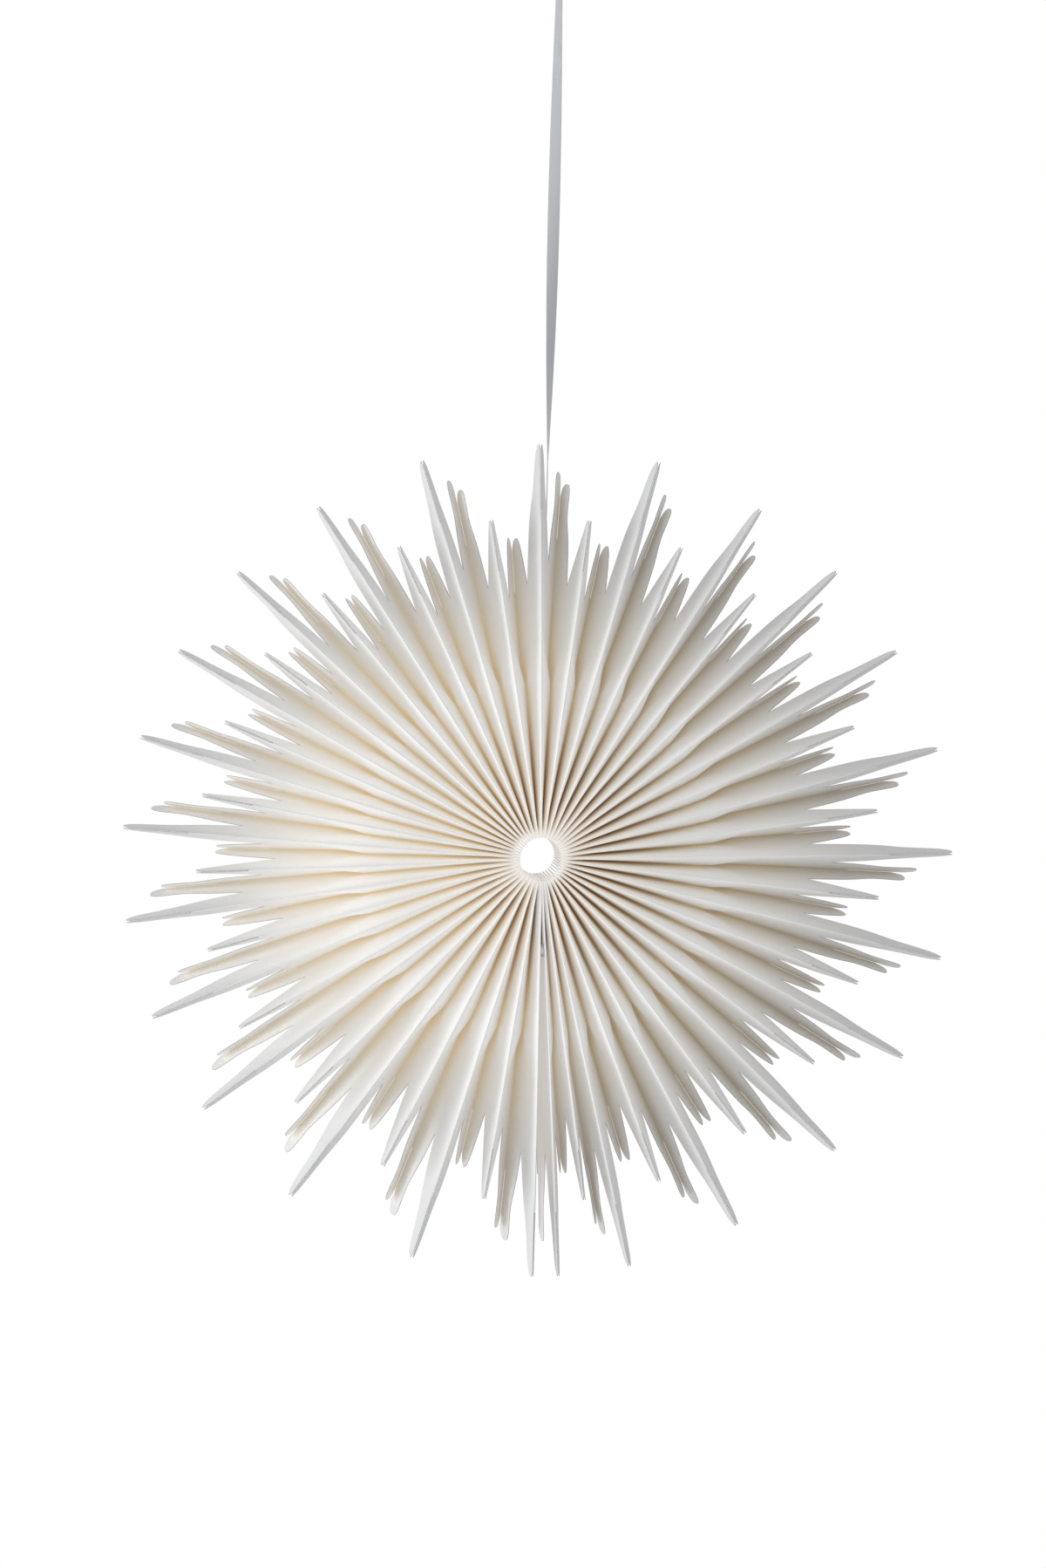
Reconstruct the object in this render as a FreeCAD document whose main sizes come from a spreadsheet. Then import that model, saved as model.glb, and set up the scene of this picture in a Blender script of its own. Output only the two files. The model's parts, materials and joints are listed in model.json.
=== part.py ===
"""Pleated card star that hangs on a ribbon.

A concertina of thin white card, pleated front to back and opened into a full circle. Its pleats run out
from a small hole in the middle, and the rim is cut into long and short blades. Every fourth crease carries
the longest blades, so the star repeats leaf by leaf. Each leaf is one creased sheet, glued to the next by a
flap. The two end panels meet below the hole, where a pair of small magnets holds the circle shut.

The hole's axis is Y, the front faces -Y, +Z is up and the origin is in the middle of the hole.
Angles run anticlockwise from +X, seen from the front.
"""
import FreeCAD, Part
import math
import os
import Sketcher
from FreeCAD import Placement, Rotation, Vector

doc = FreeCAD.newDocument("paper_star")

# ---------------------------------------------------------------- driving dimensions, in mm
SIZES = [
    # alias, value, meaning
    ("card", 0.3, "thickness of the card"),
    ("depth", 80.0, "front creases to back creases"),
    ("hole_radius", 10.3, "hole in the middle, to the cut inner edges"),
    ("long_tip", 200.0, "centre to the tips of the long blades"),
    ("long_tip_back", 194.0, "centre to the long blades' tips on the far side of their back crease"),
    ("long_fold", 167.6, "centre to the end of the crease between two long blades"),
    ("long_cut", 160.0, "centre to the foot of the cut beside that crease"),
    ("short_tip", 165.0, "centre to the tips of the short blades"),
    ("short_fold", 139.0, "centre to the end of the crease between two short blades"),
    ("short_cut", 132.5, "centre to the foot of the cut beside that crease"),
    ("notch_long", 148.0, "centre to the notch between two long blades of one panel"),
    ("notch_mixed", 137.0, "centre to the notch between a long and a short blade"),
    ("notch_short", 130.6, "centre to the notch between two short blades"),
    ("cut_inset", 2.5, "crease to the inner side of its blades"),
    ("tip_back", 3.0, "a blade's tip to the ends of its two sides, towards the hole"),
    ("tip_middle", 3.5, "a blade's inner side to its tip"),
    ("tip_deep", 9.5, "a blade's inner side to its outer one, by the tip"),
    ("flank_back", 19.0, "a long blade's tip to the bend in its outer side, towards the hole"),
    ("flank_deep", 23.0, "crease to that bend"),
    ("root_back", 34.0, "a long blade's tip to its root, towards the hole"),
    ("root_deep", 32.0, "crease to the outer side of a long blade's root"),
    ("glue_radius", 79.0, "centre to the end of the glue that holds the panels together"),
    ("glue_fade", 5.0, "length over which they come apart"),
    ("valley_depth", 28.0, "depth of the valleys where the panels are glued"),
    ("flap_width", 12.0, "glue flap that joins a leaf to the next"),
    ("flap_start", 16.0, "centre to the inner end of a flap"),
    ("flap_end", 134.0, "centre to the outer end of a flap"),
    ("seam_open", 48.0, "the end panels stand apart out to here"),
    ("seam_shut", 60.0, "and lie together from here"),
    ("seam_air", 0.05, "seam's middle to each end panel where they lie together"),
    ("seam_clear", 0.01, "seam's middle to the end panels at the hole"),
    ("magnet_radius", 3.0, "closing magnet"),
    ("magnet_thick", 0.8, "closing magnet"),
    ("magnet_place", 44.0, "centre to the magnets"),
    ("magnet_inset", 8.0, "front creases to the magnets' centres"),
    ("magnet_air", 0.02, "seam's middle to each magnet"),
    ("ribbon_width", 6.0, "hanging ribbon"),
    ("ribbon_thick", 0.4, "hanging ribbon"),
    ("ribbon_foot", 12.0, "centre to the ribbon's lower end"),
    ("ribbon_top", 446.0, "centre to the underside of the knot"),
    ("knot_across", 5.0, "knot, across the ribbon's thickness"),
    ("knot_wide", 7.4, "knot, along the ribbon's width"),
    ("knot_height", 9.0, "knot"),
    ("knot_round", 2.2, "knot's rounded edges"),
    ("loop_radius", 9.0, "inside of the loop's round top"),
    ("loop_rise", 30.0, "knot to the centre of the loop's round top"),
    ("loop_spread", 0.5, "middle to the inside of a leg of the loop, at the knot"),
]

SEAM = 272.0  # where the end panels meet
LEAVES = 25
STEPS = 4  # panels from one long ridge to the next
# The fan is opened by hand, so its leaves don't spread evenly. At these leaves the long ridge is turned this
# many degrees from its place in an even fan, and from one of them to the next the turn eases over.
TURNS = ((0, 0.0), (1, -5.0), (4, -0.5), (8, -1.0), (10, -3.0), (14, 2.0), (21, -8.0), (LEAVES - 1, 0.0))

sheet = doc.addObject("Spreadsheet::Sheet", "sizes")
for number, (alias, value, meaning) in enumerate(SIZES, start=1):
    sheet.set("A%d" % number, meaning)
    sheet.set("B%d" % number, repr(value))
    sheet.setAlias("B%d" % number, alias)
doc.recompute()


class Size:
    """A length from the sheet, which keeps its value and the expression that it comes from."""

    def __init__(self, name, value=None):
        self.text = "sizes." + name if value is None else name
        self.value = float(getattr(sheet, name)) if value is None else value

    def join(self, sign, other, value):
        other_text = other.text if isinstance(other, Size) else repr(other)
        return Size("(%s %s %s)" % (self.text, sign, other_text), value)

    def __add__(self, other):
        return self.join("+", other, self.value + float(other))

    def __sub__(self, other):
        return self.join("-", other, self.value - float(other))

    def __mul__(self, other):
        return self.join("*", other, self.value * float(other))

    def __float__(self):
        return self.value


card = float(Size("card"))
depth = float(Size("depth"))
spread = math.degrees(math.asin((card + float(Size("seam_clear"))) / float(Size("hole_radius"))))
first_ridge, last_ridge = SEAM + spread, SEAM + 360 - spread


def turned(number):
    """How many degrees a leaf's long ridge is turned from its place in an even fan."""
    for (start, before), (end, after) in zip(TURNS, TURNS[1:]):
        if number <= end:
            ease = (1 - math.cos(math.pi * (number - start) / (end - start))) / 2
            return before + (after - before) * ease


ridges = [
    first_ridge + (last_ridge - first_ridge) * number / (LEAVES - 1) + turned(number)
    for number in range(LEAVES)
]


# ---------------------------------------------------------------- flat outlines of the panels
MARGIN = 1.0  # how far a blank runs past its outline, and an outline past the creases, for a clean cut
OUTSIDE = Size(repr(-MARGIN), -MARGIN)  # from a crease to an outline's edge beyond it


def tie(sketch, kind, *where_and_value):
    """Add a dimension to a sketch and bind it to the sheet."""
    *where, length = where_and_value
    number = sketch.addConstraint(Sketcher.Constraint(kind, *where, float(length)))
    sketch.setExpression("Constraints[%d]" % number, length.text)


def place_point(sketch, edge, end, across, along=None):
    """Dimension one end of an edge (1 start, 2 end, 3 centre) from the sketch's origin."""
    tie(sketch, "DistanceX", -1, 1, edge, end, across)
    if along is not None:
        tie(sketch, "DistanceY", -1, 1, edge, end, along)


def arc_between(start, end, radius):
    """The arc that turns left from start to end."""
    chord = end - start
    half = chord.Length / 2
    left = Vector(-chord.y, chord.x, 0).normalize()
    centre = (start + end) * 0.5 + left * math.sqrt(max(radius * radius - half * half, 0.0))
    begin, stop = (math.atan2(p.y - centre.y, p.x - centre.x) for p in (start, end))
    return Part.ArcOfCircle(Part.Circle(centre, Vector(0, 0, 1), radius), begin, stop)


def blade(tip, fold, cut, bends=()):
    """Corners of a blade and the cut beside it: (centre to the corner, crease to the corner).

    The cut's slanting side is drawn on past the crease, where there is no card.
    """
    tip, fold, cut, inset = Size(tip), Size(fold), Size(cut), Size("cut_inset")
    end = tip - Size("tip_back")
    return [
        (fold + (fold - cut) * (MARGIN / float(inset)), OUTSIDE),
        (cut, inset),
        (end, inset),
        (tip, inset + Size("tip_middle")),
        (end, inset + Size("tip_deep")),
        *((tip - Size(back), Size(deep)) for back, deep in bends),
    ]


def panel_outline(name, front, back, notch):
    """Outline of a panel laid flat: X runs out from the hole, Y from the front crease to the back one."""
    half = Size("depth") * 0.5
    hole = Size("hole_radius")
    corners = [
        (hole, OUTSIDE - half),
        *((radius, deep - half) for radius, deep in blade(*front)),
        (Size(notch), half * 0.0),
        *((radius, half - deep) for radius, deep in reversed(blade(*back))),
        (hole, half - OUTSIDE),
    ]
    sketch = doc.addObject("Sketcher::SketchObject", name)
    points = [Vector(float(x), float(y), 0) for x, y in corners]
    edges = [
        sketch.addGeometry(Part.LineSegment(start, end), False)
        for start, end in zip(points, points[1:] + points[:1])
    ]
    for edge, following in zip(edges, edges[1:] + edges[:1]):
        sketch.addConstraint(Sketcher.Constraint("Coincident", edge, 2, following, 1))
    for edge, (across, along) in zip(edges, corners):
        place_point(sketch, edge, 1, across, along)
    return sketch


BENDS = (("flank_back", "flank_deep"), ("root_back", "root_deep"))
LONG = ("long_tip", "long_fold", "long_cut", BENDS)
LONG_FAR = ("long_tip_back", "long_fold", "long_cut", BENDS)
SHORT = ("short_tip", "short_fold", "short_cut")
outlines = {
    "long_to_long": panel_outline("outline_long_to_long", LONG, LONG, "notch_long"),
    "short_to_long": panel_outline("outline_short_to_long", SHORT, LONG_FAR, "notch_mixed"),
    "short_to_short": panel_outline("outline_short_to_short", SHORT, SHORT, "notch_short"),
    "long_to_short": panel_outline("outline_long_to_short", LONG, SHORT, "notch_mixed"),
}
doc.recompute()


# ---------------------------------------------------------------- panels of bent card
def at(radius, angle, offset, along):
    """The point at a radius on the ray at an angle, moved sideways off the ray, at a depth."""
    turn = math.radians(angle)
    across = Vector(-math.sin(turn), 0, math.cos(turn)) * offset
    return Vector(radius * math.cos(turn), along, radius * math.sin(turn)) + across


def slab(low, high):
    """A closed solid between two skins, each a row of sections with the same number of points."""
    triangles = []
    for skin in (low, high):
        skin_faces = []
        for near, far in zip(skin, skin[1:]):
            for i in range(len(near) - 1):
                skin_faces.append((near[i], far[i], far[i + 1]))
                skin_faces.append((near[i], far[i + 1], near[i + 1]))
        triangles += skin_faces if skin is low else [face[::-1] for face in skin_faces]
    rims = (
        (low[0][::-1], high[0][::-1]),
        (low[-1], high[-1]),
        ([section[0] for section in low], [section[0] for section in high]),
        ([section[-1] for section in low][::-1], [section[-1] for section in high][::-1]),
    )
    for under, over in rims:
        for i in range(len(under) - 1):
            triangles.append((under[i], over[i], over[i + 1]))
            triangles.append((under[i], over[i + 1], under[i + 1]))
    shell = Part.Shell([Part.Face(Part.makePolygon([a, b, c, a])) for a, b, c in triangles])
    shell.sewShape()
    solid = Part.Solid(shell)
    if solid.Volume < 0:
        solid.reverse()
    return solid


glue_radius = float(Size("glue_radius"))
glue_open = glue_radius + float(Size("glue_fade"))
inner = float(Size("hole_radius")) - MARGIN
outer = float(Size("long_tip")) + MARGIN
GLUED_ROWS = (inner, glue_radius, glue_open, outer)
SEAM_ROWS = (inner, float(Size("seam_open")), float(Size("seam_shut")), outer)
VALLEY = float(Size("valley_depth")) / depth


def bent_card(front, back, rows=GLUED_ROWS, lift=0.0):
    """Card between a front crease and a back crease, before it is cut to its outline.

    front and back give a crease's (angle, offset) at a radius. Out to the glue's end the card turns at the
    valley's floor and runs straight back from there, against its neighbour. lift moves it sideways.
    """
    skins = []
    for side in (lift - card / 2, lift + card / 2):
        sections = []
        for radius in rows:
            angle, offset = front(radius)
            near = at(radius, angle, offset + side, -depth / 2)
            angle, offset = back(radius)
            far = at(radius, angle, offset + side, depth / 2)
            floor = near + (far - near) * VALLEY
            if rows is GLUED_ROWS and radius <= glue_radius:
                floor = at(radius, angle, offset + side, floor.y)
            sections.append([near, floor, far])
        skins.append(sections)
    return slab(*skins)


def facing(angle):
    """The placement that lays a flat outline along the ray at an angle."""
    turn = math.radians(angle)
    out = Vector(math.cos(turn), 0, math.sin(turn))
    across = Vector(-math.sin(turn), 0, math.cos(turn))
    return Placement(Vector(0, 0, 0), Rotation(out, Vector(0, 1, 0), across, "XYZ"))


CUTTER = 40.0  # thickness of the block that cuts a panel to its outline, more than any panel leans


def cut_to(solid, wire, angle):
    """Cut a sheet to an outline that faces along the ray at an angle."""
    block = Part.Face(wire)
    block.translate(Vector(0, 0, -CUTTER / 2))
    block = block.extrude(Vector(0, 0, CUTTER))
    block.Placement = facing(angle)
    return solid.common(block)


def crease(angle, end, side, low, high, start=None):
    """The folded card outside a crease: a rib from offset low to high, with its edges taken off."""
    start = float(Size("hole_radius")) if start is None else start
    base = side * depth / 2
    crown = base + side * card * math.cos(math.radians(30))
    corner = card / 2
    section = [(low, base), (low + corner, crown), (high - corner, crown), (high, base)]
    ring = [at(start, angle, offset, along) for offset, along in section]
    face = Part.Face(Part.makePolygon([*ring, ring[0]]))
    return face.extrude(at(end, angle, 0, 0) - at(start, angle, 0, 0))


def fold_end(fold, step):
    """How far a crease runs out along its own ray, when panels that lean by half a step end at the fold."""
    lean = math.radians(step) / 2
    return float(Size(fold)) / math.cos(lean) + card * math.tan(lean)


def flap(front, back):
    """The glue flap on the far side of the next leaf's first panel."""
    reach = float(Size("flap_width"))
    start, end = float(Size("flap_start")), float(Size("flap_end"))
    edge = depth / 2
    corners = [
        Vector(start - MARGIN / 2, edge + MARGIN, 0),
        Vector(start + reach / 2, edge - reach, 0),
        Vector(end - reach / 2, edge - reach, 0),
        Vector(end + MARGIN / 2, edge + MARGIN, 0),
    ]
    strip = bent_card(front, back, lift=card)
    angle = (front(0)[0] + back(0)[0]) / 2
    return cut_to(strip, Part.makePolygon([*corners, corners[0]]), angle)


def fixed(angle, offset):
    """A crease that runs straight out."""
    return lambda radius: (angle, offset)


def seam_edge(angle, side):
    """The free edge of an end panel: along its ridge's ray by the hole, then against the seam.

    side is 1 for the panel just after the seam and -1 for the one just before it.
    """

    def edge(radius):
        if radius <= float(Size("seam_open")):
            return angle, -side * card / 2
        seam = SEAM if side > 0 else SEAM + 360
        return seam, side * (card / 2 + float(Size("seam_air")))

    return edge


def leaf(number):
    """One creased sheet, numbered after the long ridge that it carries."""
    ridge = ridges[number]
    steps = [(after - before) / STEPS for before, after in zip(ridges, ridges[1:])]
    half = card / 2
    pieces = []

    def panel(outline, front, back, rows=GLUED_ROWS):
        blank = bent_card(front, back, rows)
        middle = (front(outer)[0] + back(outer)[0]) / 2
        pieces.append(cut_to(blank, outlines[outline].Shape.Wires[0], middle))

    if number > 0:
        step = steps[number - 1]
        last_back, last_front, joint = (ridge - n * step for n in (1, 2, 3))
        panel("short_to_short", fixed(last_front, -half), fixed(joint, half))
        panel("short_to_long", fixed(last_front, half), fixed(last_back, -half))
        panel("long_to_long", fixed(ridge, -half), fixed(last_back, half))
        pieces.append(crease(last_front, fold_end("short_fold", step), -1, -card, card))
        pieces.append(crease(last_back, fold_end("long_fold", step), 1, -card, card))
    else:
        panel("long_to_long", fixed(ridge, -half), seam_edge(ridge, 1), SEAM_ROWS)
    beside = max(steps[max(number - 1, 0):number + 1])
    pieces.append(crease(ridge, fold_end("long_fold", beside), -1, -card, card))

    if number < len(steps):
        joint = ridge + steps[number]
        panel("long_to_short", fixed(ridge, half), fixed(joint, -half))
        start, end = float(Size("flap_start")), float(Size("flap_end"))
        pieces.append(crease(joint, end, 1, -card, 2 * card, start))
        pieces.append(flap(fixed(joint + steps[number], -half), fixed(joint, half)))
    else:
        panel("long_to_short", fixed(ridge, half), seam_edge(ridge, -1), SEAM_ROWS)
    return pieces[0].multiFuse(pieces[1:]).removeSplitter()


def add_shape(name, shape):
    """Put a finished shape in the document as a sub-part."""
    feature = doc.addObject("Part::Feature", name)
    feature.Label = name
    feature.Shape = shape
    return feature


nodes = []
for number in range(LEAVES):
    nodes.append(add_shape("leaf_%02d" % (number + 1), leaf(number)))


# ---------------------------------------------------------------- magnets at the seam
def magnet(name, side):
    """A disc magnet glued to one end panel, its face almost against the other magnet."""
    disc = doc.addObject("Part::Cylinder", name)
    disc.Label = name
    disc.setExpression("Radius", "sizes.magnet_radius")
    disc.setExpression("Height", "sizes.magnet_thick")
    place, air = float(Size("magnet_place")), float(Size("magnet_air"))
    along = float(Size("magnet_inset")) - depth / 2
    base = at(place, SEAM, side * air, along)
    outward = (at(place, SEAM, side, along) - at(place, SEAM, 0, along)).normalize()
    disc.Placement = Placement(base, Rotation(Vector(0, 0, 1), outward))
    return disc


nodes.append(magnet("magnet_left", -1))
nodes.append(magnet("magnet_right", 1))


# ---------------------------------------------------------------- ribbon, knot and loop
ribbon = doc.addObject("Part::Box", "ribbon")
ribbon.Label = "ribbon"
ribbon.setExpression("Length", "sizes.ribbon_thick")
ribbon.setExpression("Width", "sizes.ribbon_width")
ribbon.setExpression("Height", "sizes.ribbon_top - sizes.ribbon_foot")
ribbon.setExpression("Placement.Base.x", "-sizes.ribbon_thick / 2")
ribbon.setExpression("Placement.Base.y", "-sizes.ribbon_width / 2")
ribbon.setExpression("Placement.Base.z", "sizes.ribbon_foot")
nodes.append(ribbon)

blank = doc.addObject("Part::Box", "knot_blank")
blank.setExpression("Length", "sizes.knot_across")
blank.setExpression("Width", "sizes.knot_wide")
blank.setExpression("Height", "sizes.knot_height")
blank.setExpression("Placement.Base.x", "-sizes.knot_across / 2")
blank.setExpression("Placement.Base.y", "-sizes.knot_wide / 2")
blank.setExpression("Placement.Base.z", "sizes.ribbon_top")
doc.recompute()
knot = doc.addObject("Part::Fillet", "knot")
knot.Label = "knot"
knot.Base = blank
knot_round = float(Size("knot_round"))
knot.Edges = [(edge + 1, knot_round, knot_round) for edge in range(len(blank.Shape.Edges))]
nodes.append(knot)


def hanging_loop():
    """The ribbon's end, doubled back into a loop: two legs and a round top, as wide as the ribbon."""
    body = doc.addObject("PartDesign::Body", "hanging_loop")
    body.Label = "hanging_loop"
    plane = next(f for f in body.Origin.OriginFeatures if f.Role == "XZ_Plane")
    sketch = body.newObject("Sketcher::SketchObject", "loop_side")
    sketch.AttachmentSupport = [(plane, "")]
    sketch.MapMode = "FlatFace"

    foot = Size("ribbon_top") + Size("knot_height")
    centre = foot + Size("loop_rise")
    inside, thick = Size("loop_radius"), Size("ribbon_thick")
    rails = ((inside, Size("loop_spread")), (inside + thick, Size("loop_spread") + thick))
    for rail, (radius, spread) in enumerate(rails):
        high, low = float(centre), float(foot)
        reach = math.hypot(float(spread), high - low)
        lean = math.asin(float(radius) / reach) - math.atan2(float(spread), high - low)
        right = Vector(float(radius) * math.cos(lean), high - float(radius) * math.sin(lean), 0)
        left = Vector(-right.x, right.y, 0)
        first = 3 * rail
        sketch.addGeometry(Part.LineSegment(Vector(float(spread), low, 0), right), False)
        sketch.addGeometry(arc_between(right, left, float(radius)), False)
        sketch.addGeometry(Part.LineSegment(left, Vector(-float(spread), low, 0)), False)
        sketch.addConstraint(Sketcher.Constraint("Tangent", first, 2, first + 1, 1))
        sketch.addConstraint(Sketcher.Constraint("Tangent", first + 1, 2, first + 2, 1))
        place_point(sketch, first, 1, spread, foot)
        place_point(sketch, first + 2, 2, spread * -1.0, foot)
        place_point(sketch, first + 1, 3, spread * 0.0, centre)
        tie(sketch, "Radius", first + 1, radius)
    for inner_end, outer_end in (((0, 1), (3, 1)), ((2, 2), (5, 2))):
        across = [sketch.Geometry[i].StartPoint if e == 1 else sketch.Geometry[i].EndPoint
                  for i, e in (inner_end, outer_end)]
        edge = sketch.addGeometry(Part.LineSegment(*across), False)
        sketch.addConstraint(Sketcher.Constraint("Coincident", edge, 1, *inner_end))
        sketch.addConstraint(Sketcher.Constraint("Coincident", edge, 2, *outer_end))
    doc.recompute()
    pad = body.newObject("PartDesign::Pad", "loop_pad")
    pad.Profile = sketch
    pad.Midplane = True
    pad.setExpression("Length", "sizes.ribbon_width")
    body.Tip = pad
    return body


nodes.append(hanging_loop())
doc.recompute()


# ---------------------------------------------------------------- checks and export
for item in doc.Objects:
    if "Invalid" in item.State or "Error" in item.State:
        raise RuntimeError("%s failed: %s" % (item.Name, item.State))
for node in nodes:
    if node.Shape.isNull() or not node.Shape.isValid():
        raise RuntimeError("%s has no valid shape" % node.Label)

os.makedirs("parts", exist_ok=True)
for node in nodes:
    node.Shape.exportStep("parts/%s.step" % node.Label)
    print(node.Label, len(node.Shape.Solids), "solid,", round(node.Shape.Volume, 1), "mm3")
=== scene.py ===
"""A pleated card star that hangs on a satin ribbon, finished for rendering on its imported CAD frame."""

import json
import math

import bmesh
import bpy
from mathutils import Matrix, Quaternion, Vector

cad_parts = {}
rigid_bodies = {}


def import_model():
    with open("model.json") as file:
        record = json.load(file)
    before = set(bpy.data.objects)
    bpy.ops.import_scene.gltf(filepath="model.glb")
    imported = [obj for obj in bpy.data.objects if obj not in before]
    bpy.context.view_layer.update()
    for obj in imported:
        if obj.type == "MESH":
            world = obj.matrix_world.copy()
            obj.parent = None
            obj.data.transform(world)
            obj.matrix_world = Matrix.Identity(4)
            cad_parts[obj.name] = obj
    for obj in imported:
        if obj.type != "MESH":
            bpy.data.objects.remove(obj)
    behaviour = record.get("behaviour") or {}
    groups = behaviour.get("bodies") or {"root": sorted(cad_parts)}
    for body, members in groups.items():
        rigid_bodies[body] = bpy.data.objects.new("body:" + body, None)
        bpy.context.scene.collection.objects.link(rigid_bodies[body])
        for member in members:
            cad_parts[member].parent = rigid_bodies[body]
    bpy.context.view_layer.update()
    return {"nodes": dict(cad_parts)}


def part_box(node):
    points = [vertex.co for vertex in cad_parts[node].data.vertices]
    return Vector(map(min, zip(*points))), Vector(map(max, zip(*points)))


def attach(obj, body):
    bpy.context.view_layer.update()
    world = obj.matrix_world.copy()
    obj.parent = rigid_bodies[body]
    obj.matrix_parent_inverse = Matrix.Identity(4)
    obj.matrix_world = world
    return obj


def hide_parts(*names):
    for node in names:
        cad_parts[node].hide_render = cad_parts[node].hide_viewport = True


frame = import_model()

# ---------------------------------------------------------------- sizes, in metres
LEAVES = sorted(name for name in frame["nodes"] if name.startswith("leaf_"))
PANELS = 4  # to a whole leaf
CARD = 0.0003
CROWN = 0.866 * CARD  # how far a folded crease stands out
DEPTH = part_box(LEAVES[1])[1][1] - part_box(LEAVES[1])[0][1] - 2 * CROWN
HOLE_RADIUS = 0.0103
# centre to a blade's tip, to the end of its crease and to the root of the cut beside it, and to the notches
LONG_TIP, LONG_TIP_BACK, LONG_FOLD, LONG_CUT = 0.200, 0.194, 0.1676, 0.160
SHORT_TIP, SHORT_FOLD, SHORT_CUT = 0.165, 0.139, 0.1325
NOTCH_LONG, NOTCH_MIXED, NOTCH_SHORT = 0.148, 0.137, 0.1306
CUT_INSET = 0.0010  # crease to the inner side of its blades
TIP_BACK = 0.0035  # a blade's tip to the ends of its two sides, towards the hole
TIP_MIDDLE, TIP_DEEP = 0.006, 0.0135  # a blade's inner side to its tip, and to its outer side
# a long blade's outer side bends twice on its way to the notch: how far behind the tip, and from the crease
FLANK_BACK, FLANK_DEEP = 0.019, 0.0215
ROOT_BACK, ROOT_DEEP = 0.034, 0.031
BACK_WIDER = 1.7  # how many times broader the blades of a back crease are at their tips
FLANK_WIDER, ROOT_WIDER = 0.005, 0.002  # what a tip of twice the breadth adds at the two bends
GLUE_RADIUS, VALLEY_DEPTH = 0.079, 0.028  # the glued zone: how far out, and the valleys' depth inside it
FADE_LENGTH = 0.030  # over which real card lets go of its neighbour, where the CAD needs only one facet
CLING = 0.6  # how much the panels cling together beside their creases, beyond the glue
CURL = 0.001  # radians: half of the most that the blades' tips wander
QUICK_WAVE, SLOW_WAVE, SLOW_START = 23.7, 9.1, 0.7  # two waves round the star, by which they wander
FLAP_WIDTH, FLAP_START, FLAP_END = 0.012, 0.016, 0.134  # the glue flap, and the radii that it spans
SEAM = math.radians(272.0)
SEAM_OPEN, SEAM_SHUT, SEAM_AIR = 0.048, 0.060, 0.00005  # radii between which it shuts, and the air left
BEND = math.pi * CARD / 2  # card used up by the turn of a crease
PITCH = DEPTH + BEND  # one panel and one crease, laid flat
END_SLACK = 0.003  # how near a CAD crease's end lies to the radius that is asked for
ROUNDING = 1e-6  # keeps the points of a score line on the panel that starts there

# where a flat sheet is scored so that it can curve: metres from the centre, and shares of a panel's breadth
INNER_ROWS = (0.013, 0.018, 0.026, 0.036, 0.048, 0.060, 0.070)
FADE_ROWS = (0.0, 0.25, 0.5, 0.75, 1.0)  # shares of the fade length
OUTER_ROWS = (0.118, 0.128, 0.140, 0.152, 0.164, 0.176, 0.188)
HALF_COLUMNS = (0.0, 0.04, 0.08, 0.13, 0.18, 0.26, 0.35, 0.425, 0.5)
FAR_COLUMNS = (0.575, 0.65, 0.74, 0.82, 0.87, 0.92, 0.96, 1.0)


# ---------------------------------------------------------------- node trees as plain expressions
MIX_A, MIX_B, MIX_RESULT = 6, 7, 2  # a Mix node's colour sockets


class Number:
    """A number that flows through a node tree. Sums on it add Math nodes."""

    def __init__(self, graph, socket):
        self.graph = graph
        self.socket = socket

    def __add__(self, other):
        return self.graph.math("ADD", self, other)

    def __sub__(self, other):
        return self.graph.math("SUBTRACT", self, other)

    def __mul__(self, other):
        return self.graph.math("MULTIPLY", self, other)

    def __truediv__(self, other):
        return self.graph.math("DIVIDE", self, other)

    def __rsub__(self, other):
        return self.graph.math("SUBTRACT", other, self)

    __radd__ = __add__
    __rmul__ = __mul__


class Graph:
    """A shader or geometry node tree that is being built."""

    def __init__(self, tree):
        self.tree = tree

    def fill(self, made, sockets):
        """Give a node's sockets values or links, by name or by number."""
        for name, value in sockets.items():
            if isinstance(value, Number):
                value = value.socket
            if isinstance(value, bpy.types.NodeSocket):
                self.tree.links.new(value, made.inputs[name])
            else:
                made.inputs[name].default_value = value

    def node(self, kind, settings=None, sockets=None):
        """Add a node with its settings, then fill its sockets."""
        made = self.tree.nodes.new(kind)
        for name, value in (settings or {}).items():
            setattr(made, name, value)
        self.fill(made, sockets or {})
        return made

    def noise(self, place, scale, detail):
        """The value of a noise texture."""
        made = self.node("ShaderNodeTexNoise", None, {"Vector": place, "Scale": scale, "Detail": detail})
        return Number(self, made.outputs[0])

    def math(self, operation, *values):
        """The result of a Math node."""
        made = self.node("ShaderNodeMath", {"operation": operation}, dict(enumerate(values)))
        return Number(self, made.outputs[0])

    def ramp(self, value, start, stop, smooth=False):
        """0 up to start, 1 from stop."""
        kind = "SMOOTHSTEP" if smooth else "LINEAR"
        made = self.node(
            "ShaderNodeMapRange",
            {"interpolation_type": kind},
            {"Value": value, "From Min": start, "From Max": stop},
        )
        return Number(self, made.outputs["Result"])

    def blend(self, weight, low, high):
        """The number low where weight is 0, and high where it is 1."""
        return low + (high - low) * weight

    def colour(self, weight, low, high):
        """The colour low where weight is 0, and high where it is 1."""
        made = self.node("ShaderNodeMix", {"data_type": "RGBA"}, {"Factor": weight, MIX_A: low, MIX_B: high})
        return made.outputs[MIX_RESULT]


# ---------------------------------------------------------------- materials
def new_material(name):
    """A material with a Principled shader, its graph and that shader."""
    material = bpy.data.materials.new(name)
    material.use_nodes = True
    tree = material.node_tree
    tree.nodes.clear()
    graph = Graph(tree)
    shader = graph.node("ShaderNodeBsdfPrincipled")
    graph.node("ShaderNodeOutputMaterial", sockets={"Surface": shader.outputs["BSDF"]})
    return material, graph, shader


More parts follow.
